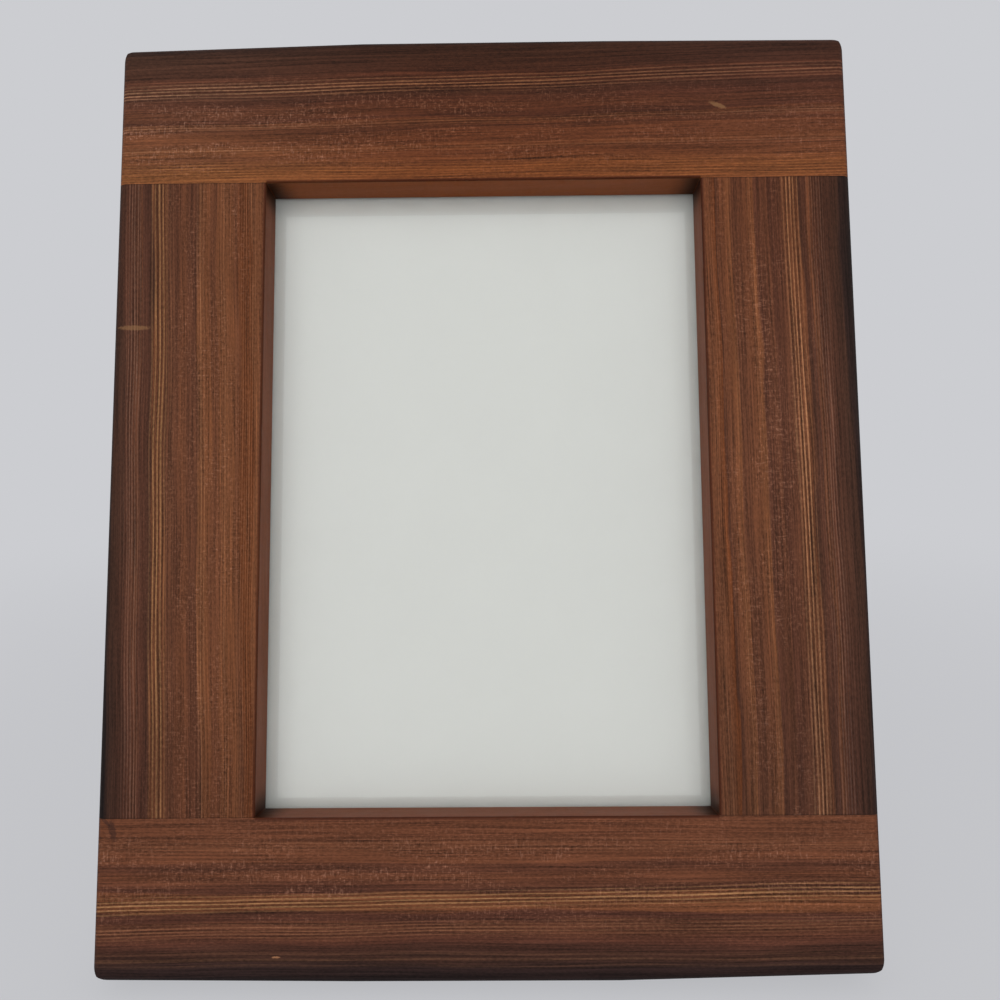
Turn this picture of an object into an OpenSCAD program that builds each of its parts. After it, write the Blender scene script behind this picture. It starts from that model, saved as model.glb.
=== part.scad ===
// Wooden picture frame for a 5 x 7 inch picture, standing on an easel strut.
// Four members of reddish wood are half-lapped at the corners. The rails keep their
// front half from side to side, and the stiles their back half from top to bottom.
// Glass, card and a hinged backing board lie in the rabbet behind the sight edge.
//
// Lengths are millimetres and angles degrees. Every piece is drawn flat: x to the
// right and y up as the viewer sees the picture, z towards the viewer, with the
// frame's back at z = 0 and its lowest point at y = 0. stand_up() then leans all of
// it back, with the floor at z = 0.

/* [Wood members] */
// Width of the sight opening
sight_w = 118; // [100:1:250]
// Height of the sight opening
sight_h = 168; // [140:1:320]
// Width of each member, seen from the front
member_w = 40.5; // [30:0.5:60]
// Thickness of the members
frame_t = 19; // [17:0.5:28]
// Thickness of the stile's half of each corner lap
lap_t = 9.5; // [7:0.5:12]
// How far the rabbet reaches out behind the sight edge
rabbet_w = 5.5; // [4:0.5:10]
// Radius of the rounding along the outer front edges
front_round = 2.5; // [1:0.1:4]
// Radius of the rounding along the outer back edges
back_round = 1; // [0.4:0.1:2]
// Radius of the rounding along the sight edge
sight_round = 0.6; // [0.2:0.1:1.5]
// Radius of the frame's four corners, seen from the front
corner_r = 5; // [1:0.5:8]
// Radius of the planed bow's steeper half: left on the top edge, right on the bottom edge
crown_steep_r = 2900; // [2500:100:6000]
// Radius of the planed bow's flatter half
crown_flat_r = 8000; // [6500:100:12000]

/* [Filling] */
// Thickness of the glass
glass_t = 2; // [1.5:0.1:3]
// Thickness of the white card behind the glass
card_t = 2.3; // [0.5:0.1:3]
// Gap between the glass and the card
glass_gap = 0.1; // [0.05:0.05:0.5]
// Thickness of the backing board
board_t = 4; // [2.4:0.1:5]
// Play between the filling and each side of the rabbet
pane_gap = 0.5; // [0.2:0.1:1.5]

/* [Easel] */
// How far the standing frame leans back
lean = 13; // [10:0.5:16]
// Angle between the strut and the frame's back when the strut is open
open_angle = 24; // [20:0.5:28]
// Distance from the top of the backing board down to the hinge axis
hinge_drop = 53; // [30:1:65]
// Thickness of the strut
strut_t = 3.2; // [2.4:0.1:4]
// Width of the strut at its top
strut_top_w = 30; // [28:1:40]
// Width of the strut at its foot
strut_foot_w = 60; // [40:1:80]
// Radius of the strut's upper corners
strut_corner_r = 4; // [1:0.5:8]
// Gap between the folded strut and the backing board
strut_gap = 0.3; // [0.2:0.1:1]

/* [Hinge] */
// Width of the hinge
hinge_w = 26; // [20:1:28]
// Thickness of the two hinge leaves
leaf_t = 0.8; // [0.6:0.1:1.2]
// Length of the leaf on the board, from the hinge axis
board_leaf_l = 16; // [14:1:24]
// Length of the leaf on the strut, from the hinge axis
strut_leaf_l = 20; // [14:1:28]
// Radius of the leaves' outer corners
leaf_corner_r = 2; // [0.5:0.5:4]
// Length of the middle knuckle, which is the strut's
middle_knuckle = 12; // [9:1:16]
// Gap between neighbouring knuckles
knuckle_space = 0.15; // [0.1:0.05:0.4]
// Gap between the barrel and the board
barrel_gap = 0.1; // [0.05:0.05:0.3]
// Gap between the barrel and a plate that has no knuckle beside it
plate_gap = 0.3; // [0.2:0.1:1]
// Radius of the hinge pin
pin_r = 1; // [0.6:0.1:1.2]
// Running clearance of the pin in the middle knuckle
pin_clear = 0.05; // [0.02:0.01:0.1]
// Radius of the pin's two heads
pin_head_r = 1.5; // [1.3:0.1:1.8]
// Thickness of the pin's two heads
pin_head_t = 0.5; // [0.3:0.1:1]
// Width of the tab that stops the open strut
stop_w = 6; // [4:0.5:8]
// Gap that is left at the tab when the strut is open
stop_gap = 0.05; // [0.02:0.01:0.1]

/* [Rivets] */
// Radius of the rivets
rivet_r = 1.2; // [0.8:0.1:1.5]
// Radius of the rivets' round heads
rivet_head_r = 2.3; // [1.8:0.1:2.8]
// Height of the rivets' round heads
rivet_head_h = 0.8; // [0.5:0.1:1.4]
// Radius of the rivets' flush tails
rivet_tail_r = 2; // [1.6:0.1:2.4]
// Depth of the rivets' flush tails
rivet_tail_h = 0.8; // [0.4:0.1:1.2]
// Distance between the two rivets of a leaf
rivet_spacing = 14; // [13:0.5:18]
// Distance from the hinge axis to the rivets of either leaf
rivet_reach = 11; // [6:0.5:13]

/* [Turn buttons] */
// Reach of a turn button, from its screw to its tip
button_reach = 17; // [13:0.5:20]
// Width of a turn button
button_w = 10; // [8:0.5:12]
// Thickness of a turn button
button_t = 1.2; // [0.8:0.1:2]
// How far a turn button laps over the backing board
button_lap = 6.5; // [4:0.5:8]
// Height of the turn buttons' screws above or below the ends of the sight opening
button_inset = 34.5; // [25:0.5:50]
// Radius of the screws
screw_r = 1.5; // [1.2:0.1:2]
// Running clearance between a turn button and its screw
screw_clear = 0.05; // [0.02:0.01:0.1]
// Gap between a turn button and the faces in front of and behind it
face_gap = 0.05; // [0.02:0.01:0.1]
// Depth of the screws in the wood
screw_l = 12; // [8:0.5:14]
// Length of the screws' points
screw_point = 3; // [2:0.5:4]
// Radius of the blunt end of the screws' points
screw_tip_r = 0.2; // [0.1:0.1:0.5]
// Radius of the screws' round heads
screw_head_r = 2.9; // [2.6:0.1:3.6]
// Height of the screws' round heads
screw_head_h = 1.7; // [1.2:0.1:2.2]
// Width of the slot in the screws' heads
slot_w = 0.8; // [0.5:0.1:1]
// Depth of the slot in the screws' heads
slot_d = 0.8; // [0.4:0.1:1]

/* [Hidden] */
$fn = 96;

wood_red = [0.42, 0.20, 0.12];
wood_dark = [0.33, 0.15, 0.10];
glass_tint = [0.80, 0.88, 0.88, 0.35];
card_white = [0.84, 0.85, 0.82];
board_black = [0.08, 0.08, 0.09];
plated_steel = [0.72, 0.70, 0.66];

// How far a cutter runs past the face that it cuts
past = 1;
// Number of straight steps in a rounded strut corner
arc_steps = 8;
// Number of facets of the bow on each side of its middle one
crown_steps = 1;

outer_w = sight_w + 2 * member_w;
outer_h = sight_h + 2 * member_w;
rabbet_d = glass_t + glass_gap + card_t + board_t;
pane_w = sight_w + 2 * rabbet_w - 2 * pane_gap;
pane_h = sight_h + 2 * rabbet_w - 2 * pane_gap;
pane_low = member_w - rabbet_w;
pane_top = pane_low + pane_h;

// The facets of the bow reach past the opposite edge of the frame
crown_depth = 2 * outer_h;
crown_pitch = outer_w / (2 * crown_steps + 1);
corner_x = outer_w / 2 - corner_r;
// How far each corner's arc would rise above the bow, so that the two cross cleanly
corner_lift = 0.01;

hinge_y = pane_top - hinge_drop;
hinge_z = (strut_gap + strut_t + leaf_t) / 2;
leaf_face = hinge_z - leaf_t;
knuckle_r = hinge_z - barrel_gap;
plate_start = knuckle_r + plate_gap;
stop_reach = (leaf_face * (1 + cos(open_angle)) - stop_gap) / sin(open_angle);

// Where the standing frame's back edge, hinge and strut foot come, from the side
floor_sink = back_round * (cos(lean) + sin(lean) - 1);
strut_slope = open_angle - lean;
hinge_back = hinge_y * sin(lean) + hinge_z * cos(lean);
hinge_high = hinge_y * cos(lean) - hinge_z * sin(lean) - floor_sink;
strut_run = (hinge_high + leaf_face * sin(strut_slope)) / cos(strut_slope);
foot_back = hinge_back + leaf_face * cos(strut_slope) + strut_run * sin(strut_slope);
front_most = (frame_t - front_round) * cos(lean) + front_round * (1 - sin(lean));
depth_mid = (foot_back - front_most) / 2;

screw_x = pane_w / 2 - button_lap + button_reach;
screw_low = member_w + button_inset;
screw_high = member_w + sight_h - button_inset;
screw_seat = button_t + 2 * face_gap;

function arc(middle, r, from, to) = [
    for (i = [0:arc_steps])
        let (a = from + (to - from) * i / arc_steps) middle + r * [cos(a), sin(a)]
];

// The top edge's bow: side is below 0 for its left half and above 0 for its right half
function crown_r(side) = side < 0 ? crown_steep_r : crown_flat_r;
function crown_slope(i) = asin(i * crown_pitch / crown_r(i));
function crown_height(i) = outer_h - crown_r(i) * (1 - cos(crown_slope(i)));

// Height of the middle of the arc at the top edge's left or right corner
function corner_y(side) =
    crown_height(side * crown_steps) - corner_r + corner_lift
    - (corner_x - crown_steps * crown_pitch) * tan(abs(crown_slope(side * crown_steps)));

module stand_up()
    translate([0, -depth_mid, -floor_sink]) rotate([90 - lean, 0, 0]) children();

// Turns the strut's pieces, which are drawn folded, about the hinge axis
module swing_open()
    translate([0, hinge_y, -hinge_z]) rotate([open_angle, 0, 0])
        translate([0, -hinge_y, hinge_z]) children();

// Lays a profile drawn as [distance, height] along x, from x = -l / 2 to l / 2
module along_x(l)
    translate([-l / 2, 0, 0]) rotate([90, 0, 90]) linear_extrude(l) children();

// Lays a profile drawn as [x, height] along y, from y = from to y = to
module along_y(from, to)
    translate([0, to, 0]) rotate([90, 0, 0]) linear_extrude(to - from) children();

// A bar from x = a to x = b, with one radius at the front corner of each end and
// another at the back corner
module eased_section(a, b, t, front, back) {
    translate([a, back]) square([b - a, t - front - back]);
    translate([a + front, t / 2]) square([b - a - 2 * front, t / 2]);
    translate([a + back, 0]) square([b - a - 2 * back, t / 2]);
    for (x = [a + front, b - front])
        translate([x, t - front]) circle(front);
    for (x = [a + back, b - back])
        translate([x, back]) circle(back);
}

module rounded_plate(w, h, r) {
    translate([-w / 2 + r, 0]) square([w - 2 * r, h]);
    translate([-w / 2, r]) square([w, h - 2 * r]);
    for (x = [-w / 2 + r, w / 2 - r], y = [r, h - r])
        translate([x, y]) circle(r);
}

// The bowed top edge, as straight facets
module crown()
    intersection_for (i = [-crown_steps:crown_steps])
        translate([i * crown_pitch, crown_height(i), 0]) rotate([0, 0, -crown_slope(i)])
            along_x(2 * outer_w)
                eased_section(-crown_depth, 0, frame_t, front_round, back_round);

// What the four round corners leave, seen from the front
module cornered_plan() {
    translate([-corner_x, -past]) square([2 * corner_x, outer_h + 2 * past]);
    for (side = [-1, 1])
        let (low = outer_h - corner_y(-side), high = corner_y(side)) {
            translate([side * corner_x - corner_r, low]) square([2 * corner_r, high - low]);
            for (y = [low, high])
                translate([side * corner_x, y]) circle(corner_r);
        }
}

// Turns the upper half of a piece onto the lower half, and its right onto the left
module turn_about() translate([0, outer_h, 0]) rotate([0, 0, 180]) children();

// The whole frame in one piece, before the opening is cut
module frame_blank()
    intersection() {
        crown();
        turn_about() crown();
        along_y(-past, outer_h + past)
            eased_section(-outer_w / 2, outer_w / 2, frame_t, front_round, back_round);
        linear_extrude(frame_t) cornered_plan();
    }

// The room for the glass, the card and the board
module rabbet()
    translate([-sight_w / 2 - rabbet_w, member_w - rabbet_w, -past])
        cube([sight_w + 2 * rabbet_w, sight_h + 2 * rabbet_w, rabbet_d + past]);

// What the rounding takes off an edge at the origin, with the wood at +x and -y
module rounded_off()
    difference() {
        translate([-past, -sight_round]) square([sight_round + past, sight_round + past]);
        translate([sight_round, -sight_round]) circle(sight_round);
    }

module top_rail_wood()
    difference() {
        intersection() {
            frame_blank();
            translate([-outer_w / 2 - past, outer_h - member_w, -past])
                cube([outer_w + 2 * past, member_w + past, frame_t + 2 * past]);
        }
        for (x = [-outer_w / 2 - past, sight_w / 2])
            translate([x, outer_h - member_w - past, -past])
                cube([member_w + past, member_w + 2 * past, lap_t + past]);
        rabbet();
        translate([0, outer_h - member_w, frame_t]) along_x(sight_w) rounded_off();
    }

module right_stile_wood()
    difference() {
        intersection() {
            frame_blank();
            translate([sight_w / 2, -past, -past])
                cube([member_w + past, outer_h + 2 * past, frame_t + 2 * past]);
        }
        for (y = [-past, outer_h - member_w])
            translate([sight_w / 2 - past, y, lap_t])
                cube([member_w + 2 * past, member_w + past, frame_t]);
        rabbet();
        translate([sight_w / 2, 0, frame_t]) along_y(member_w, outer_h - member_w)
            rounded_off();
        for (y = [screw_low, screw_high])
            translate([screw_x, y, 0]) screw_shank();
    }

module top_rail() color(wood_red) stand_up() top_rail_wood();

module bottom_rail() color(wood_red) stand_up() turn_about() top_rail_wood();

module right_stile() color(wood_dark) stand_up() right_stile_wood();

module left_stile() color(wood_dark) stand_up() turn_about() right_stile_wood();

// A sheet of the filling, which rests on the bottom of the rabbet
module sheet(from, t)
    translate([-pane_w / 2, pane_low, from]) cube([pane_w, pane_h, t]);

module glass_pane() color(glass_tint) stand_up() sheet(board_t + card_t + glass_gap, glass_t);

module mount_card() color(card_white) stand_up() sheet(board_t, card_t);

// A low dome whose flat side is at z = 0, rising towards -z
module dome(r, h) {
    ball = (r * r + h * h) / (2 * h);
    intersection() {
        translate([0, 0, ball - h]) sphere(ball);
        translate([0, 0, -h]) cylinder(r = r, h = h);
    }
}

// A rivet through a stack from z = 0 to z = grip: a round head behind, a flush tail
module rivet(grip) {
    cylinder(r = rivet_r, h = grip);
    dome(rivet_head_r, rivet_head_h);
    translate([0, 0, grip - rivet_tail_h])
        cylinder(r1 = rivet_r, r2 = rivet_tail_r, h = rivet_tail_h);
}

// Two rivets side by side at y, whose heads sit on a leaf's outer face at z = from
module rivet_pair(y, from, grip)
    for (x = [-rivet_spacing / 2, rivet_spacing / 2])
        translate([x, y, from]) rivet(grip);

module board_rivet_pair() rivet_pair(hinge_y + rivet_reach, -leaf_t, leaf_t + board_t);

module strut_rivet_pair()
    rivet_pair(hinge_y - rivet_reach, -strut_gap - strut_t - leaf_t, leaf_t + strut_t);

module board_rivets() color(plated_steel) stand_up() board_rivet_pair();

module strut_rivets() color(plated_steel) stand_up() swing_open() strut_rivet_pair();

module backing_board()
    color(board_black) stand_up() difference() {
        sheet(0, board_t);
        board_rivet_pair();
    }

// The strut's outline, with the hinge axis at y = 0 and a foot longer than needed
module strut_outline() {
    flare = atan((strut_foot_w - strut_top_w) / 2 / (strut_run - plate_start));
    long = strut_run + strut_t;
    half_foot = strut_foot_w / 2 + strut_t * tan(flare);
    half_top = strut_top_w / 2;
    polygon(concat(
        arc([half_top - strut_corner_r, -plate_start - strut_corner_r], strut_corner_r, 0, 90),
        arc([strut_corner_r - half_top, -plate_start - strut_corner_r], strut_corner_r, 90, 180),
        [[-half_foot, -long], [half_foot, -long]]
    ));
}

// The foot is cut level, so that it lies flat on the floor
module easel_strut()
    color(board_black) difference() {
        stand_up() swing_open() difference() {
            translate([0, hinge_y, -strut_gap - strut_t])
                linear_extrude(strut_t) strut_outline();
            strut_rivet_pair();
        }
        translate([-strut_foot_w, -outer_h, -outer_h])
            cube([2 * strut_foot_w, 2 * outer_h, outer_h]);
    }

// A leaf lies at z = leaf_face to hinge_z from the hinge axis, and runs towards +y
module leaf_plate(l)
    translate([0, 0, leaf_face]) linear_extrude(leaf_t) difference() {
        rounded_plate(hinge_w, l, leaf_corner_r);
        translate([-hinge_w / 2 - past, -past])
            square([hinge_w + 2 * past, plate_start + past]);
    }

// A knuckle of length l with the strip that joins it to its plate
module knuckle(l, bore)
    along_x(l) difference() {
        union() {
            circle(knuckle_r);
            translate([0, leaf_face]) square([plate_start + leaf_t, leaf_t]);
        }
        circle(bore);
    }

module hinge_board_leaf() {
    side = (hinge_w - middle_knuckle) / 2 - knuckle_space;
    color(plated_steel) stand_up() difference() {
        translate([0, hinge_y, -hinge_z]) {
            leaf_plate(board_leaf_l);
            for (x = [-1, 1])
                translate([x * (hinge_w - side) / 2, 0, 0]) knuckle(side, pin_r);
        }
        board_rivet_pair();
    }
}

// The tab runs on past the barrel and meets the other leaf when the strut is open
module hinge_strut_leaf()
    color(plated_steel) stand_up() swing_open() difference() {
        translate([0, hinge_y, -hinge_z]) rotate([180, 0, 0]) {
            leaf_plate(strut_leaf_l);
            knuckle(middle_knuckle, pin_r + pin_clear);
            translate([-stop_w / 2, -stop_reach, leaf_face]) cube([stop_w, stop_reach, leaf_t]);
        }
        strut_rivet_pair();
    }

module hinge_pin()
    color(plated_steel) stand_up() translate([0, hinge_y, -hinge_z]) {
        along_x(hinge_w) circle(pin_r);
        for (x = [-1, 1])
            translate([x * (hinge_w + pin_head_t) / 2, 0, 0])
                along_x(pin_head_t) circle(pin_head_r);
    }

// A turn button with its hole at the origin and its arm along -x
module turn_button()
    translate([0, 0, -face_gap - button_t]) linear_extrude(button_t) difference() {
        union() {
            circle(button_w / 2);
            translate([button_w / 2 - button_reach, 0]) circle(button_w / 2);
            translate([button_w / 2 - button_reach, -button_w / 2])
                square([button_reach - button_w / 2, button_w]);
        }
        circle(screw_r + screw_clear);
    }

// Mirrors a piece of the right stile onto the left one where side is -1
module on_side(side)
    mirror([side < 0 ? 1 : 0, 0, 0]) children();

module placed_button(side, y)
    color(plated_steel) stand_up() on_side(side) translate([screw_x, y, 0]) turn_button();

// The part of a screw that is in the wood, and the hole that it fills
module screw_shank() {
    translate([0, 0, -screw_seat]) cylinder(r = screw_r, h = screw_seat + screw_l - screw_point);
    translate([0, 0, screw_l - screw_point])
        cylinder(r1 = screw_r, r2 = screw_tip_r, h = screw_point);
}

module button_screw() {
    screw_shank();
    translate([0, 0, -screw_seat]) difference() {
        dome(screw_head_r, screw_head_h);
        translate([-screw_head_r, -slot_w / 2, -screw_head_h - past])
            cube([2 * screw_head_r, slot_w, slot_d + past]);
    }
}

module button_screws()
    color(plated_steel) stand_up()
        for (side = [-1, 1], y = [screw_low, screw_high])
            on_side(side) translate([screw_x, y, 0]) button_screw();

top_rail();
bottom_rail();
left_stile();
right_stile();
glass_pane();
mount_card();
backing_board();
easel_strut();
hinge_board_leaf();
hinge_strut_leaf();
hinge_pin();
board_rivets();
strut_rivets();
placed_button(-1, screw_high);  // turn_button_upper_left
placed_button(1, screw_high);  // turn_button_upper_right
placed_button(-1, screw_low);  // turn_button_lower_left
placed_button(1, screw_low);  // turn_button_lower_right
button_screws();
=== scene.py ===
"""Looks of the standing wooden picture frame: its woods, glass, card, black board and plated metal.

The frame leans back, so places on it are given as the builder of the frame would measure them, in
millimetres on the flat frame: x to the right of its middle, y up from its lowest edge, and z out
of its back face towards the viewer.
"""
import math
from dataclasses import dataclass, field

import bpy
from mathutils import Matrix, Quaternion, Vector


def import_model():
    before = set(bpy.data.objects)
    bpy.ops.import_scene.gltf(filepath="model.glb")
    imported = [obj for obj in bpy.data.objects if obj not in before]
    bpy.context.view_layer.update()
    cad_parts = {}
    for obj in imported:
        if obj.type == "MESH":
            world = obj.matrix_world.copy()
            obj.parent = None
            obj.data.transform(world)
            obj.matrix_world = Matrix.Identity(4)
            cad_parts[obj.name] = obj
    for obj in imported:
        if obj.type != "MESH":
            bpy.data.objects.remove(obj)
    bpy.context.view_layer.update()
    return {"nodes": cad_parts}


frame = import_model()

MM = 0.001
LEAN = math.radians(13)
# How far the strut stands open from the backing board
STRUT_OPEN = math.radians(24)
RIGHT = Vector((1, 0, 0))
UP = Vector((0, math.sin(LEAN), math.cos(LEAN)))
OUT = Vector((0, -math.cos(LEAN), math.sin(LEAN)))


def reach(name, direction):
    """The least and most that a CAD node reaches along a direction, in millimetres."""
    places = [vertex.co.dot(direction) / MM for vertex in frame["nodes"][name].data.vertices]
    return min(places), max(places)


BACK, FACE = reach("top_rail", OUT)
LOW = reach("bottom_rail", UP)[0]
STILE_INNER, STILE_OUTER = reach("right_stile", RIGHT)
THICKNESS = FACE - BACK
LAP = THICKNESS / 2
OUTER_H = reach("top_rail", UP)[1] - LOW
OUTER_W = 2 * reach("top_rail", RIGHT)[1]
MEMBER = STILE_OUTER - STILE_INNER


def place(x, y, z):
    """A point of the flat frame, where it is on the standing one."""
    return (RIGHT * x + UP * (y + LOW) + OUT * (z + BACK)) * MM


# Colours, as they look on a screen


def srgb(red, green, blue):
    """A colour given as three numbers up to 255, as Blender's linear red, green and blue."""
    def linear(value):
        share = value / 255
        return share / 12.92 if share <= 0.04045 else ((share + 0.055) / 1.055) ** 2.4
    return linear(red), linear(green), linear(blue), 1.0


NIGHT = srgb(34, 25, 25)
SOOT = srgb(46, 30, 28)
UMBER = srgb(62, 39, 31)
WALNUT = srgb(72, 43, 33)
PLUM = srgb(83, 48, 36)
BROWN = srgb(92, 54, 38)
RUSSET = srgb(102, 60, 40)
COPPER = srgb(111, 66, 42)
AMBER = srgb(122, 73, 43)
CHESTNUT = srgb(100, 53, 27)
TAN = srgb(164, 114, 80)
STRAW = srgb(162, 118, 78)
HONEY = srgb(158, 98, 50)
ASH = srgb(142, 108, 92)
# The bright specks where the saw cut through rays and short grain
FLECK = srgb(160, 112, 90)
# The painted shade along the sight edge
SIGHT_EDGE_SHADE = srgb(72, 30, 17)
# The opening's sides, lighter than the face as painted light: the top rail's, and the other members'
TOP_SIDE_LIGHT = srgb(177, 93, 38)
SIDE_LIGHT = srgb(142, 76, 40)

GLASS = srgb(253, 254, 253)
LIT_GLASS = srgb(250, 252, 251)
CARD = srgb(236, 235, 230)
BLACK_PAPER = srgb(27, 27, 29)
SCUFFED_PAPER = srgb(48, 47, 48)
HARDBOARD = srgb(96, 68, 48)
NICKEL = srgb(203, 198, 189)
STAINED_NICKEL = srgb(184, 177, 165)
BACKDROP = srgb(204, 205, 209)
PAPER = srgb(212, 212, 216)
WHITE = (1.0, 1.0, 1.0, 1.0)


# Node trees

# The Mix node has sockets for every kind of value, and these are the places of its colours
MIX_START, MIX_END, MIX_RESULT = 6, 7, 2


class Signal:
    """A number that a node tree works out, so that arithmetic on it adds Math nodes."""

    def __init__(self, nodes, socket):
        self.nodes = nodes
        self.socket = socket

    def math(self, operation, *others):
        return self.nodes.math(operation, self, *others)

    def __add__(self, other):
        return self.math("ADD", other)

    def __sub__(self, other):
        return self.math("SUBTRACT", other)

    def __mul__(self, other):
        return self.math("MULTIPLY", other)

    def __truediv__(self, other):
        return self.math("DIVIDE", other)

    def __rsub__(self, other):
        return self * -1 + other

    def __abs__(self):
        return self.math("ABSOLUTE")

    __radd__ = __add__

    def rise(self, low, high):
        """0 below low and 1 above high, with a smooth change between them."""
        made = self.nodes.add(
            "ShaderNodeMapRange",
            {"Value": self, "From Min": low, "From Max": high},
            interpolation_type="SMOOTHSTEP",
        )
        return Signal(self.nodes, made.outputs["Result"])


class Nodes:
    """Adds nodes to a node tree and links them."""

    def __init__(self, tree):
        self.tree = tree

    def put(self, socket, value):
        """Links an input to a signal or an output, or else sets it to a plain value."""
        if isinstance(value, Signal):
            value = value.socket
        if isinstance(value, bpy.types.NodeSocket):
            self.tree.links.new(value, socket)
        else:
            socket.default_value = value

    def add(self, kind, inputs, **settings):
        made = self.tree.nodes.new(kind)
        for name, value in settings.items():
            setattr(made, name, value)
        for key, value in inputs.items():
            self.put(made.inputs[key], value)
        return made

    def math(self, operation, *values):
        made = self.add("ShaderNodeMath", dict(enumerate(values)), operation=operation)
        return Signal(self, made.outputs[0])

    def dot(self, one, other):
        made = self.add("ShaderNodeVectorMath", {0: one, 1: other}, operation="DOT_PRODUCT")
        return Signal(self, made.outputs["Value"])

    def seen_by_eye(self):
        """1 where a ray comes straight from the camera or through the glass, else 0."""
        path = self.add("ShaderNodeLightPath", {}).outputs
        return self.math("MAXIMUM", path["Is Camera Ray"], path["Is Transmission Ray"])

    def blend(self, share, start, end):
        """A surface or background between two others."""
        return self.add("ShaderNodeMixShader", {0: share, 1: start, 2: end}).outputs["Shader"]


class Shader(Nodes):
    """Builds one material round its Principled BSDF."""

    def __init__(self, name):
        self.material = bpy.data.materials.new(name)
        self.material.use_nodes = True
        super().__init__(self.material.node_tree)
        self.surface = self.tree.nodes["Principled BSDF"]

    def set(self, **inputs):
        """Sets the Principled BSDF's inputs: base_color stands for Base Color."""
        for name, value in inputs.items():
            label = name.replace("_", " ").title().replace("Ior", "IOR")
            self.put(self.surface.inputs[label], value)

    def show_instead(self, share, other):
        """Shows another surface in the Principled BSDF's place, as far as share says."""
        both = self.blend(share, self.surface.outputs["BSDF"], other)
        self.put(self.tree.nodes["Material Output"].inputs["Surface"], both)

    def flat_frame(self):
        """x, y and z on the flat frame, in millimetres."""
        spot = self.add("ShaderNodeTexCoord", {}).outputs["Object"]
        turned = self.add("ShaderNodeMapping", {
            "Vector": spot,
            "Location": (0, -LOW, -BACK),
            "Rotation": (LEAN - math.pi / 2, 0, 0),
            "Scale": (1 / MM, 1 / MM, 1 / MM),
        })
        parts = self.add("ShaderNodeSeparateXYZ", {"Vector": turned.outputs["Vector"]})
        return [Signal(self, parts.outputs[axis]) for axis in "XYZ"]

    def facing(self, direction):
        """How squarely the surface faces along a direction or against it, from 0 to 1."""
        normal = self.add("ShaderNodeTexCoord", {}).outputs["Normal"]
        return abs(self.dot(normal, direction))

    def noise(self, x, y, z, detail=2.0, roughness=0.5):
        """Noise from 0 to 1 that changes about once for each whole number of x, y or z."""
        spot = self.add("ShaderNodeCombineXYZ", {"X": x, "Y": y, "Z": z})
        made = self.add("ShaderNodeTexNoise", {
            "Vector": spot.outputs["Vector"],
            "Scale": 1.0,
            "Detail": detail,
            "Roughness": roughness,
        })
        return Signal(self, made.outputs["Fac"])

    def ramp(self, value, stops):
        made = self.add("ShaderNodeValToRGB", {"Fac": value})
        points = made.color_ramp.elements
        while len(points) < len(stops):
            points.new(1.0)
        for point, (position, colour) in zip(points, stops):
            point.position = position
            point.color = colour
        return made.outputs["Color"]

    def mix(self, share, start, end):
        made = self.add("ShaderNodeMix", {"Factor": share}, data_type="RGBA")
        self.put(made.inputs[MIX_START], start)
        self.put(made.inputs[MIX_END], end)
        return made.outputs[MIX_RESULT]

    def brighten(self, colour, by):
        """The colour times a number."""
        if isinstance(colour, tuple):
            colour = colour[:3]
        made = self.add("ShaderNodeVectorMath", {0: colour, "Scale": by}, operation="SCALE")
        return made.outputs["Vector"]

    def filter(self, colour, by):
        """The colour times another, channel by channel."""
        made = self.add("ShaderNodeVectorMath", {0: colour, 1: by}, operation="MULTIPLY")
        return made.outputs["Vector"]

    def bump(self, height, depth_mm, strength):
        made = self.add("ShaderNodeBump", {
            "Height": height,
            "Distance": depth_mm * MM,
            "Strength": strength,
        })
        self.put(self.surface.inputs["Normal"], made.outputs["Normal"])


# The members' woods


@dataclass
class Lines:
    """A group of fine light growth lines. Lengths are millimetres, from the member's outer edge.

    drift is how far the group moves inwards for each millimetre to the right or up, and faded is
    how much of its strength is gone at the member's right or upper end.
    """

    middle: float
    width: float
    pitch: float
    strength: float
    drift: float = 0.0
    colour: tuple = TAN
    faded: float = 0.0


@dataclass
class Mark:
    """A small mark on the face at x and y, with its half width and half height, in millimetres."""

    x: float
    y: float
    half_w: float
    half_h: float
    colour: tuple
    strength: float
    slope: float = 0.0


@dataclass
class Wood:
    """One member's board, as colours by distance from its outer edge, and what lies on them.

    lies is True where the grain runs along x, as it does in the rails. drift is the grain's, and
    means what it does for a group of lines. glow is what the colours are multiplied by at the left
    or low end, in the middle, and at the other end: partly the wood's own tone, and partly painted
    light, a greyish sheen at the top rail's left end and light that falls off towards the stiles'
    ends. thinned is how much of the flecks is gone at that other end.
    """

    lies: bool
    tones: list
    lines: list
    seed: float
    flecks: float
    # side is the colour of the opening's sides, made lighter as painted light
    side: tuple
    drift: float = 0.0
    tint: tuple = (1.0, 1.0, 1.0)
    glow: tuple = ((1.0, 1.0, 1.0), (1.0, 1.0, 1.0), (1.0, 1.0, 1.0))
    thinned: float = 0.0
    marks: list = field(default_factory=list)


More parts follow.
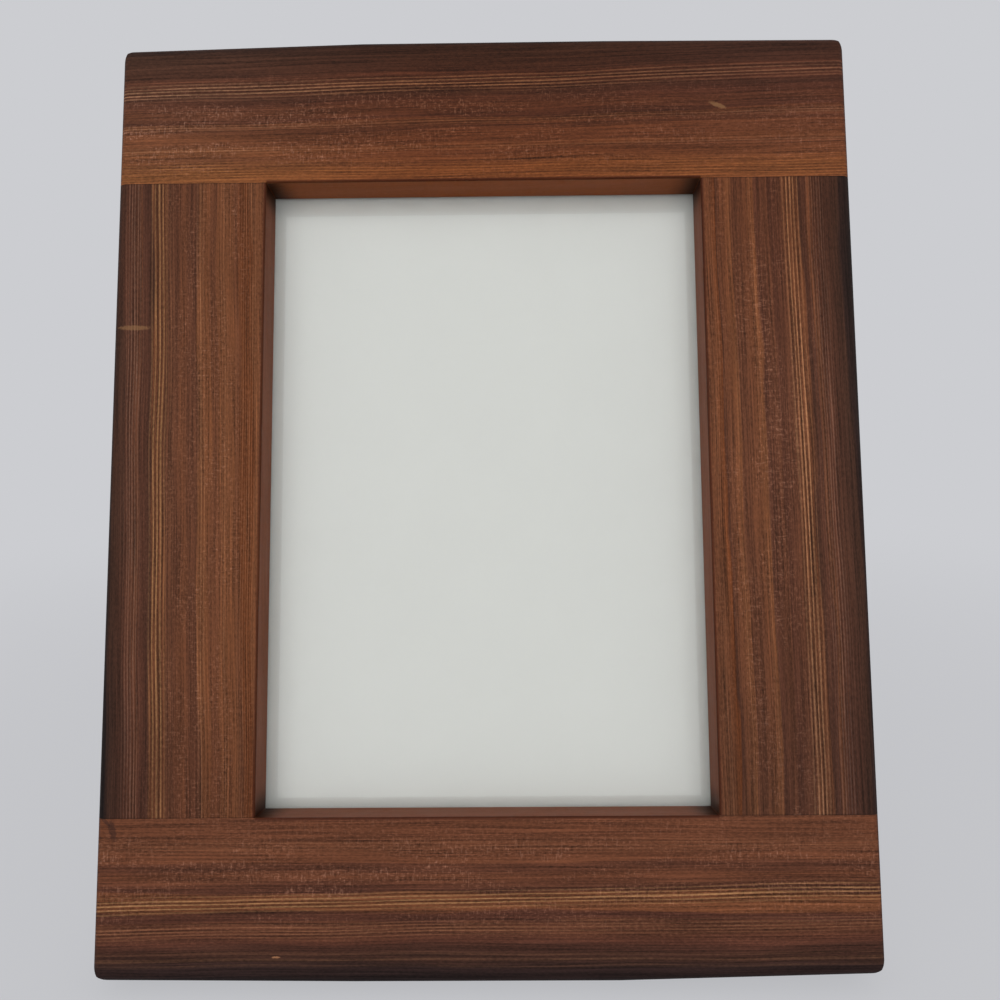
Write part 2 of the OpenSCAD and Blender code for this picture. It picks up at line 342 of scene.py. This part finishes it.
TOP_RAIL = Wood(
    lies=True,
    tones=[
        (0, SOOT), (3, UMBER), (8.6, WALNUT), (9.4, PLUM), (13.5, PLUM), (15, WALNUT), (17, PLUM),
        (19.5, BROWN), (22, PLUM), (22.6, RUSSET), (25, BROWN), (26, RUSSET), (29, RUSSET),
        (31, COPPER), (32, RUSSET), (34.5, COPPER), (36.5, AMBER), (40, AMBER),
    ],
    lines=[
        Lines(12.3, 3.8, 0.95, 0.66, drift=-0.026, faded=0.5),
        Lines(23.4, 1.4, 0.7, 0.3, drift=-0.02),
        Lines(30.6, 1.6, 0.8, 0.2, drift=-0.01),
        Lines(37.2, 5.4, 0.82, 0.36, colour=HONEY),
    ],
    seed=3.1,
    flecks=1.2,
    side=TOP_SIDE_LIGHT,
    drift=-0.02,
    tint=(1.0, 0.87, 0.68),
    glow=((1.22, 1.37, 1.48), (0.92, 0.84, 0.72), (0.99, 1.0, 1.05)),
    thinned=0.55,
    marks=[Mark(64.3, 229, 2.7, 0.8, STRAW, 0.5, slope=-0.35)],
)
BOTTOM_RAIL = Wood(
    lies=True,
    tones=[
        (0, NIGHT), (4, SOOT), (5.5, UMBER), (9, WALNUT), (10, PLUM), (12.5, BROWN), (15, BROWN),
        (15.4, PLUM), (17.1, PLUM), (17.7, COPPER), (21.8, COPPER), (22.4, PLUM), (24, BROWN),
        (26, RUSSET), (27.5, BROWN), (28.8, BROWN), (29.4, RUSSET), (40, RUSSET),
    ],
    lines=[
        Lines(20.4, 3.8, 0.97, 0.78, drift=0.017, colour=STRAW),
        Lines(13.4, 3.4, 0.8, 0.3, drift=0.01),
        Lines(5.8, 3.0, 1.5, 0.14),
        Lines(33.5, 3.0, 0.8, 0.16),
    ],
    seed=11.7,
    flecks=1.1,
    side=SIDE_LIGHT,
    tint=(1.03, 1.0, 0.95),
    marks=[
        Mark(-53, 6.6, 1.2, 0.3, TAN, 0.9),
        Mark(-95.2, 37.6, 1.3, 2.6, SOOT, 0.55, slope=-1.2),
        Mark(-97.3, 40.1, 1.7, 0.8, SOOT, 0.55, slope=-0.8),
    ],
)
LEFT_STILE = Wood(
    lies=False,
    tones=[
        (0, NIGHT), (2, UMBER), (4.4, WALNUT), (5, PLUM), (8.6, BROWN), (9, PLUM), (11.4, WALNUT),
        (11.8, RUSSET), (15, RUSSET), (15.8, BROWN), (18, BROWN), (20, RUSSET), (21.6, BROWN),
        (23.8, BROWN), (24.2, COPPER), (27, COPPER), (27.4, RUSSET), (29.2, RUSSET), (29.7, COPPER),
        (33.5, COPPER), (34.2, RUSSET), (36, CHESTNUT), (38, CHESTNUT), (38.6, COPPER),
        (40, COPPER),
    ],
    lines=[
        Lines(13.4, 3.6, 0.98, 0.72, drift=-0.0243, colour=STRAW),
        Lines(6.8, 3.8, 0.74, 0.36, drift=-0.024, colour=ASH),
        Lines(16.6, 1.8, 0.8, 0.16, drift=-0.024),
        Lines(24.8, 1.8, 0.85, 0.42, drift=-0.024),
        Lines(31.0, 1.6, 0.8, 0.24, drift=-0.02),
        Lines(36.8, 4.6, 0.62, 0.26, drift=-0.01),
    ],
    seed=23.3,
    flecks=1.1,
    side=SIDE_LIGHT,
    drift=-0.024,
    tint=(1.06, 1.05, 0.95),
    glow=((0.84, 0.82, 0.81), (1.07, 1.06, 1.0), (0.9, 0.87, 0.82)),
    marks=[Mark(-93.7, 168.4, 4.9, 0.8, STRAW, 0.44)],
)
RIGHT_STILE = Wood(
    lies=False,
    tones=[
        (0, NIGHT), (2, SOOT), (3, UMBER), (6, WALNUT), (8.4, PLUM), (9.6, BROWN), (10.5, RUSSET),
        (11, PLUM), (12.9, WALNUT), (13.4, RUSSET), (16.6, RUSSET), (17.2, BROWN), (21, PLUM),
        (22, BROWN), (24.8, PLUM), (25.3, COPPER), (27.5, RUSSET), (29.5, BROWN), (31.4, BROWN),
        (31.8, COPPER), (34, RUSSET), (35.6, BROWN), (35.9, WALNUT), (36.2, CHESTNUT),
        (38, RUSSET), (40, RUSSET),
    ],
    lines=[
        Lines(15.4, 3.8, 1.0, 0.9, drift=0.013),
        Lines(8.9, 4.2, 0.7, 0.28, drift=0.014, colour=ASH),
        Lines(25.9, 1.6, 0.8, 0.2, drift=0.015),
        Lines(32.4, 1.4, 0.8, 0.16, drift=0.01),
        Lines(37.6, 2.6, 0.62, 0.16),
    ],
    seed=37.9,
    flecks=1.0,
    side=SIDE_LIGHT,
    drift=0.014,
    tint=(1.08, 1.05, 0.92),
    glow=((0.78, 0.82, 0.87), (1.1, 1.1, 1.06), (0.92, 0.84, 0.72)),
)
WOODS = {
    "top_rail": TOP_RAIL,
    "bottom_rail": BOTTOM_RAIL,
    "left_stile": LEFT_STILE,
    "right_stile": RIGHT_STILE,
}

# How far the growth rings lean from square to the face
RING_TILT = 0.25
# How far the rings wander from their straight lines, in millimetres, and the tones' borders
RINGS_WANDER = 1.6
BORDERS_WAVE = 4
# The board's brightness where no noise changes it, and the least that noise leaves
PLAIN_LIGHT = 1.15
LEAST_LIGHT = 0.25
# How strongly each kind of figure lightens and darkens the wood
RINGS_LIGHT = 0.8
THREADS_LIGHT = 2.0
GRAIN_LIGHT = 1.3
CLOUDS_LIGHT = 0.4
# How strongly each dark detail darkens it, with painted shade on the rounded ends and in the
# opening's corners
PORES_DARK = 0.2
FLECK_GAPS_DARK = 0.26
LINE_GAPS_DARK = 0.42
SEAM_DARK = 0.45
# The end grain, darkened further with painted shade
END_GRAIN_AND_SHADE_DARK = 0.42
# Painted shade in the opening's corners
CORNER_SHADE_DARK = 0.85
# How much the painted shade along the sight edge and the painted light on the opening's sides show
ARRIS_SHADE_SHARE = 0.75
SIDE_LIGHT_SHARE = 0.7
# How deep the grain's relief is
RELIEF_MM = 0.03


def tinted(colour, tint):
    return (*(value * by for value, by in zip(colour, tint)), 1.0)


class Board:
    """One member's board while its material is made, with places and lengths in millimetres."""

    def __init__(self, shader, wood):
        self.shader = shader
        self.wood = wood
        self.x, self.y, self.z = shader.flat_frame()
        above_middle = self.y - OUTER_H / 2
        # How far a place is outside the lines of the sight opening, on each axis
        off_x = abs(self.x) - (OUTER_W / 2 - MEMBER)
        off_y = abs(above_middle) - (OUTER_H / 2 - MEMBER)
        if wood.lies:
            self.along = self.x
            self.from_edge = OUTER_H / 2 - abs(above_middle)
            self.off_sight, self.off_corner = off_y, off_x
        else:
            self.along = above_middle
            self.from_edge = OUTER_W / 2 - abs(self.x)
            self.off_sight, self.off_corner = off_x, off_y
        # Noise changes slowly with depth, and differs from member to member by its third number
        self.depth = self.z * 0.09 + wood.seed
        wander = shader.noise(self.from_edge * 0.05, self.along * 0.018, self.depth, detail=1.0)
        sunk = (THICKNESS - self.z) * RING_TILT
        self.ring = self.from_edge + sunk + (wander - 0.5) * RINGS_WANDER
        self.drifted = self.ring - self.along * wood.drift
        # The figure, from broad to fine, which colour, gloss and relief share
        self.rings = self.noise(1.3, 0.01, self.depth, detail=2.0, roughness=0.6)
        self.threads = self.noise(2.8, 0.03, self.depth * 3, detail=1.5, roughness=0.6)
        self.grain = self.noise(2.6, 0.9, self.depth * 2, detail=2.0, roughness=0.6)
        self.pores = self.noise(7.0, 0.35, self.depth * 5, detail=2.0, roughness=0.6)

    def noise(self, across, along, depth, **settings):
        """Noise that changes about so many times a millimetre, across the grain and along it."""
        return self.shader.noise(self.drifted * across, self.along * along, depth, **settings)

    def tones(self):
        """The colours across the grain, whose borders wave a little."""
        waves = self.noise(0.3, 0.02, self.depth, detail=3.0) - 0.5
        span = MEMBER + THICKNESS * RING_TILT
        stops = [(stop / span, tinted(tone, self.wood.tint)) for stop, tone in self.wood.tones]
        return self.shader.ramp((self.drifted + waves * BORDERS_WAVE) / span, stops)

    def light(self):
        """How bright the rings, the grain, the pores and slow clouds leave the wood."""
        clouds = self.noise(0.16, 0.05, self.depth + 4, detail=3.0, roughness=0.6)
        light = PLAIN_LIGHT + (self.rings - 0.5) * RINGS_LIGHT + (self.threads - 0.5) * THREADS_LIGHT
        light = light + (self.grain - 0.5) * GRAIN_LIGHT + (clouds - 0.5) * CLOUDS_LIGHT
        return light - self.pores.rise(0.54, 0.74) * PORES_DARK

    def flecked(self, colour, light):
        """Ray flecks: short bright dashes that cross the grain in patches, between dark ones."""
        wood = self.wood
        dashes = self.noise(0.6, 2.2, self.depth * 4, detail=1.5)
        patches = (
            self.noise(0.22, 0.04, self.depth + 9, detail=3.0).rise(0.38, 0.6)
            * self.from_edge.rise(6, 24) * (1 - self.from_edge.rise(33, 37) * 0.6)
            * wood.flecks * (1 - self.along.rise(-10, 80) * wood.thinned)
        )
        specks = dashes.rise(0.58, 0.72) * 0.32 + self.grain.rise(0.55, 0.68) * 0.2
        colour = self.shader.mix(specks * patches, colour, FLECK)
        return colour, light - (1 - dashes.rise(0.3, 0.46)) * patches * FLECK_GAPS_DARK

    def lined(self, colour, light):
        """The groups of light growth lines, uneven along their length, with dark gaps between."""
        noise, ring, along, depth = self.shader.noise, self.ring, self.along, self.depth
        wobble = (noise(ring * 0.8, along * 0.01, depth + 2, detail=1.0) - 0.5) * 0.7
        patchy = noise(along * 0.045, ring * 0.9, depth + 6, detail=3.0).rise(0.2, 0.6) * 0.6 + 0.4
        beads = noise(along * 1.1, ring * 1.3, depth + 7, detail=1.5).rise(0.2, 0.6) * 0.45 + 0.55
        for group in self.wood.lines:
            off_middle = ring - along * group.drift - group.middle
            turn = (off_middle / group.pitch + wobble) * (2 * math.pi)
            crest = turn.math("COSINE").rise(-0.1, 0.8)
            inside = 1 - abs(off_middle).rise(group.width * 0.1, group.width * 0.85)
            shown = inside * patchy * group.strength * (1 - along.rise(0, 90) * group.faded)
            colour = self.shader.mix(crest * shown * beads, colour, group.colour)
            light = light - (1 - crest) * shown * LINE_GAPS_DARK
        return colour, light

    def glowing(self, colour):
        """The colour's slow change from one end of the board to the other: partly the wood's own
        tone, and partly painted light, a greyish sheen at the top rail's left end and light that
        falls off towards the stiles' ends.
        """
        shader = self.shader
        near_end, middle, far_end = [(*by, 1.0) for by in self.wood.glow]
        glow = shader.mix(self.along.rise(-90, -10), near_end, middle)
        return shader.filter(colour, shader.mix(self.along.rise(10, 90), glow, far_end))

    def marked(self, colour):
        """The small marks on the face, with ragged edges."""
        for mark in self.wood.marks:
            across = (self.x - mark.x) / mark.half_w
            above = (self.y - mark.y - (self.x - mark.x) * mark.slope) / mark.half_h
            far = (across * across + above * above).math("SQRT")
            rags = self.shader.noise(self.x * 1.7, self.y * 1.7, 0, detail=2.0) - 0.5
            inside = 1 - (far + rags * 0.9).rise(0.55, 1.05)
            on_face = self.z.rise(THICKNESS - 1.5, THICKNESS - 0.5)
            colour = self.shader.mix(inside * on_face * mark.strength, colour, mark.colour)
        return colour

    def joined(self, colour):
        """A hair of dark glue line where another member ends this one, and its end grain, dark in
        itself and darker still with painted shade on the rounded ends.
        """
        seam = 1 - abs(self.off_corner).rise(0.1, 0.35)
        in_front = self.z.rise(LAP - 0.2, LAP + 0.2)
        # The rails run through in front, and the stiles at the back
        seam = seam * (1 - in_front if self.wood.lies else in_front)
        # The end grain's own darkness, deepened with painted shade where the rounded ends face away
        ends = self.shader.facing(RIGHT if self.wood.lies else UP).rise(0.6, 0.9)
        return self.shader.brighten(colour, (1 - seam * SEAM_DARK) * (1 - ends * END_GRAIN_AND_SHADE_DARK))

    def finished(self, colour):
        """Painted shade along the sight edge, painted light on the opening's sides, and painted
        shade in the opening's corners.
        """
        shader = self.shader
        beside = 1 - self.off_corner.rise(-0.3, 0.1)
        at_face = self.z.rise(THICKNESS - 0.8, THICKNESS - 0.3)
        # Painted shade: a dark line along the sight edge
        arris_shade = (1 - self.off_sight.rise(0.35, 0.75)) * at_face * beside
        colour = shader.mix(arris_shade * ARRIS_SHADE_SHARE, colour, SIGHT_EDGE_SHADE)
        below_face = 1 - self.z.rise(THICKNESS - 0.8, THICKNESS - 0.4)
        # Painted light: the opening's sides take their lighter, lit colour
        lit_sides = (1 - self.off_sight.rise(0.02, 0.1)) * below_face * beside
        colour = shader.mix(lit_sides * SIDE_LIGHT_SHARE, colour, self.wood.side)
        # Painted shade darkens the opening's sides towards its corners
        return shader.brighten(colour, 1 - lit_sides * self.off_corner.rise(-8, 0) * CORNER_SHADE_DARK)


def wood_material(name, wood):
    shader = Shader(name)
    board = Board(shader, wood)
    colour, light = board.flecked(board.tones(), board.light())
    colour, light = board.lined(colour, light)
    colour = shader.brighten(colour, light.math("MAXIMUM", LEAST_LIGHT))
    colour = board.marked(board.glowing(colour))
    shader.set(
        base_color=board.finished(board.joined(colour)),
        roughness=0.5 - (board.rings - 0.5) * 0.2 + board.pores.rise(0.5, 0.8) * 0.12,
        specular_ior_level=0.15,
    )
    relief = board.rings * 0.6 + board.threads * 0.5 - board.pores.rise(0.52, 0.76) * 0.8
    shader.bump(relief, RELIEF_MM, 0.6)
    return shader.material


# The other materials


def glass_material():
    """Clear glass that lets the lamp's light through to the card."""
    shader = Shader("picture_glass")
    shader.set(base_color=GLASS, transmission_weight=1.0, roughness=0.0, ior=1.5)
    lamp_ray = shader.add("ShaderNodeLightPath", {}).outputs["Is Shadow Ray"]
    clear = shader.add("ShaderNodeBsdfTransparent", {"Color": LIT_GLASS})
    shader.show_instead(lamp_ray, clear.outputs["BSDF"])
    return shader.material


def card_material():
    """Plain white card with a faint paper tooth."""
    shader = Shader("plain_card")
    x, y, z = shader.flat_frame()
    fibres = shader.noise(x * 2.2, y * 2.2, z * 2.2, detail=4.0, roughness=0.6)
    cloud = shader.noise(x * 0.05, y * 0.05, z * 0.05, detail=2.0)
    shader.set(
        base_color=shader.brighten(CARD, 1 + (fibres - 0.5) * 0.03 + (cloud - 0.5) * 0.03),
        roughness=0.85,
        specular_ior_level=0.25,
    )
    shader.bump(fibres, 0.01, 0.5)
    return shader.material


def board_material(name, side):
    """Hardboard under embossed black paper, which covers the faces that look along side."""
    shader = Shader(name)
    x, y, z = shader.flat_frame()
    spot = shader.add("ShaderNodeCombineXYZ", {"X": x, "Y": y, "Z": z}).outputs["Vector"]
    grain = shader.add("ShaderNodeTexVoronoi", {"Vector": spot, "Scale": 1.1})
    pebbles = Signal(shader, grain.outputs["Distance"])
    scuffs = shader.noise(x * 0.12, y * 0.12, z * 0.12, detail=5.0, roughness=0.65)
    paper = shader.mix(scuffs.rise(0.45, 0.75) * 0.5, BLACK_PAPER, SCUFFED_PAPER)
    fibres = shader.noise(x * 1.5, y * 1.5, z * 4.0, detail=4.0, roughness=0.7)
    sawn = shader.brighten(HARDBOARD, 0.7 + fibres * 0.6)
    covered = shader.facing(side).rise(0.6, 0.75)
    shader.set(
        base_color=shader.mix(covered, sawn, paper),
        roughness=0.62 + (scuffs - 0.5) * 0.25,
        specular_ior_level=0.4,
    )
    shader.bump(pebbles.rise(0.05, 0.55), 0.08, 0.55)
    return shader.material


def metal_material(name, roughness):
    """Nickel plate, with brushing and the faint stains of handling."""
    shader = Shader(name)
    x, y, z = shader.flat_frame()
    brushing = shader.noise(x * 0.4, y * 9.0, z * 9.0, detail=3.0, roughness=0.7)
    stains = shader.noise(x * 0.35, y * 0.35, z * 0.35, detail=4.0, roughness=0.6)
    shader.set(
        base_color=shader.mix(stains.rise(0.4, 0.8), NICKEL, STAINED_NICKEL),
        metallic=1.0,
        roughness=roughness + (brushing - 0.5) * 0.12 + stains.rise(0.45, 0.8) * 0.08,
    )
    shader.bump(brushing, 0.01, 0.4)
    return shader.material


def dress(names, material):
    for name in names:
        for slot in frame["nodes"][name].material_slots:
            slot.material = material


def dress_all():
    for name, wood in WOODS.items():
        dress([name], wood_material(f"{name}_wood", wood))
    dress(["glass_pane"], glass_material())
    dress(["mount_card"], card_material())
    dress(["backing_board"], board_material("board_paper", OUT))
    strut_side = Matrix.Rotation(STRUT_OPEN, 3, "X") @ OUT
    dress(["easel_strut"], board_material("strut_paper", strut_side))
    buttons = [name for name in frame["nodes"] if name.startswith("turn_button")]
    sheet_metal = ["hinge_board_leaf", "hinge_strut_leaf", *buttons]
    dress(sheet_metal, metal_material("plated_sheet", 0.34))
    headed_metal = ["hinge_pin", "board_rivets", "strut_rivets", "button_screws"]
    dress(headed_metal, metal_material("plated_heads", 0.26))


# The room

# The light from all round, behind the frame and in front of it
DIM, BRIGHT = 0.42, 0.76
# How bright the room is in reflections, beside how it looks to the camera
MIRRORED = 0.6
# How bright the floor is when it lights the frame, beside how it looks to the camera
BOUNCED = 0.4
# How much of the floor's look below the frame is plain backdrop, which thins the shadow
EVEN = 0.75
# Half the floor's width, and how far from the middle it fades into the backdrop, in metres
FLOOR_HALF = 6.0
FLOOR_FADE = (0.2, 0.8)
# Where the lamp's light comes from, its strength, and how wide the lamp looks
LAMP_FROM = Vector((-0.04, -0.95, 0.21))
LAMP_STRENGTH = 1.12
LAMP_WIDTH = math.radians(70)
# Where the photograph's camera stands, the spot that it looks at, its roll, and its lens
CAMERA_SPOT = place(6.28, 97.52, 258.89)
LOOKED_AT = place(4.0, 121.19, THICKNESS)
CAMERA_ROLL = math.radians(0.44)
LENS_MM = 33.12
SENSOR_MM = 36.0
CLOSEST_SEEN = 0.01


def floor():
    """A wide pale floor, which takes the frame's shadow and then fades into the backdrop."""
    mesh = bpy.data.meshes.new("floor")
    half = FLOOR_HALF
    corners = [(-half, -half, 0), (half, -half, 0), (half, half, 0), (-half, half, 0)]
    mesh.from_pydata(corners, [], [(0, 1, 2, 3)])
    piece = bpy.data.objects.new("floor", mesh)
    bpy.context.scene.collection.objects.link(piece)
    shader = Shader("pale_floor")
    shader.set(base_color=PAPER, roughness=0.95, specular_ior_level=0.0)
    spot = shader.add("ShaderNodeTexCoord", {}).outputs["Object"]
    away = shader.add("ShaderNodeVectorMath", {0: spot}, operation="LENGTH").outputs["Value"]
    glow = shader.add("ShaderNodeEmission", {
        "Color": BACKDROP,
        "Strength": BOUNCED + shader.seen_by_eye() * (1 - BOUNCED),
    })
    faded = Signal(shader, away).rise(*FLOOR_FADE) * (1 - EVEN) + EVEN
    shader.show_instead(faded, glow.outputs["Emission"])
    mesh.materials.append(shader.material)


def world():
    """Light that is brightest in front of the frame, and a pale backdrop for eye and glass."""
    light = bpy.data.worlds.new("pale_room")
    light.use_nodes = True
    bpy.context.scene.world = light
    room = Nodes(light.node_tree)

    def background(colour, strength):
        made = room.add("ShaderNodeBackground", {"Color": colour, "Strength": strength})
        return made.outputs["Background"]

    ahead = room.dot(room.add("ShaderNodeTexCoord", {}).outputs["Generated"], OUT)
    plain = background(WHITE, DIM + ahead.rise(-0.2, 0.9) * (BRIGHT - DIM))
    glossy_ray = room.add("ShaderNodeLightPath", {}).outputs["Is Glossy Ray"]
    unseen = room.blend(glossy_ray, plain, background(BACKDROP, MIRRORED))
    both = room.blend(room.seen_by_eye(), unseen, background(BACKDROP, 1.0))
    room.put(room.tree.nodes["World Output"].inputs["Surface"], both)


def lamp():
    """A wide soft lamp in front of the frame, which doesn't show in the glass."""
    sun = bpy.data.lights.new("key", "SUN")
    sun.energy = LAMP_STRENGTH
    sun.angle = LAMP_WIDTH
    piece = bpy.data.objects.new("key", sun)
    piece.rotation_mode = "QUATERNION"
    piece.rotation_quaternion = LAMP_FROM.to_track_quat("Z", "Y")
    piece.visible_glossy = False
    bpy.context.scene.collection.objects.link(piece)


def camera():
    """The photograph's view: close to the frame, and a little below its middle."""
    view = (LOOKED_AT - CAMERA_SPOT).normalized()
    side = view.cross(UP).normalized()
    turn = Matrix((side, side.cross(view), -view)).transposed().to_quaternion()
    piece = bpy.data.objects.new("camera", bpy.data.cameras.new("camera"))
    piece.data.sensor_width = SENSOR_MM
    piece.data.lens = LENS_MM
    piece.data.clip_start = CLOSEST_SEEN
    piece.rotation_mode = "QUATERNION"
    piece.location = CAMERA_SPOT
    piece.rotation_quaternion = Quaternion(view, CAMERA_ROLL) @ turn
    bpy.context.scene.collection.objects.link(piece)
    bpy.context.scene.camera = piece


dress_all()
floor()
world()
lamp()
camera()
bpy.context.scene.view_settings.view_transform = "Standard"
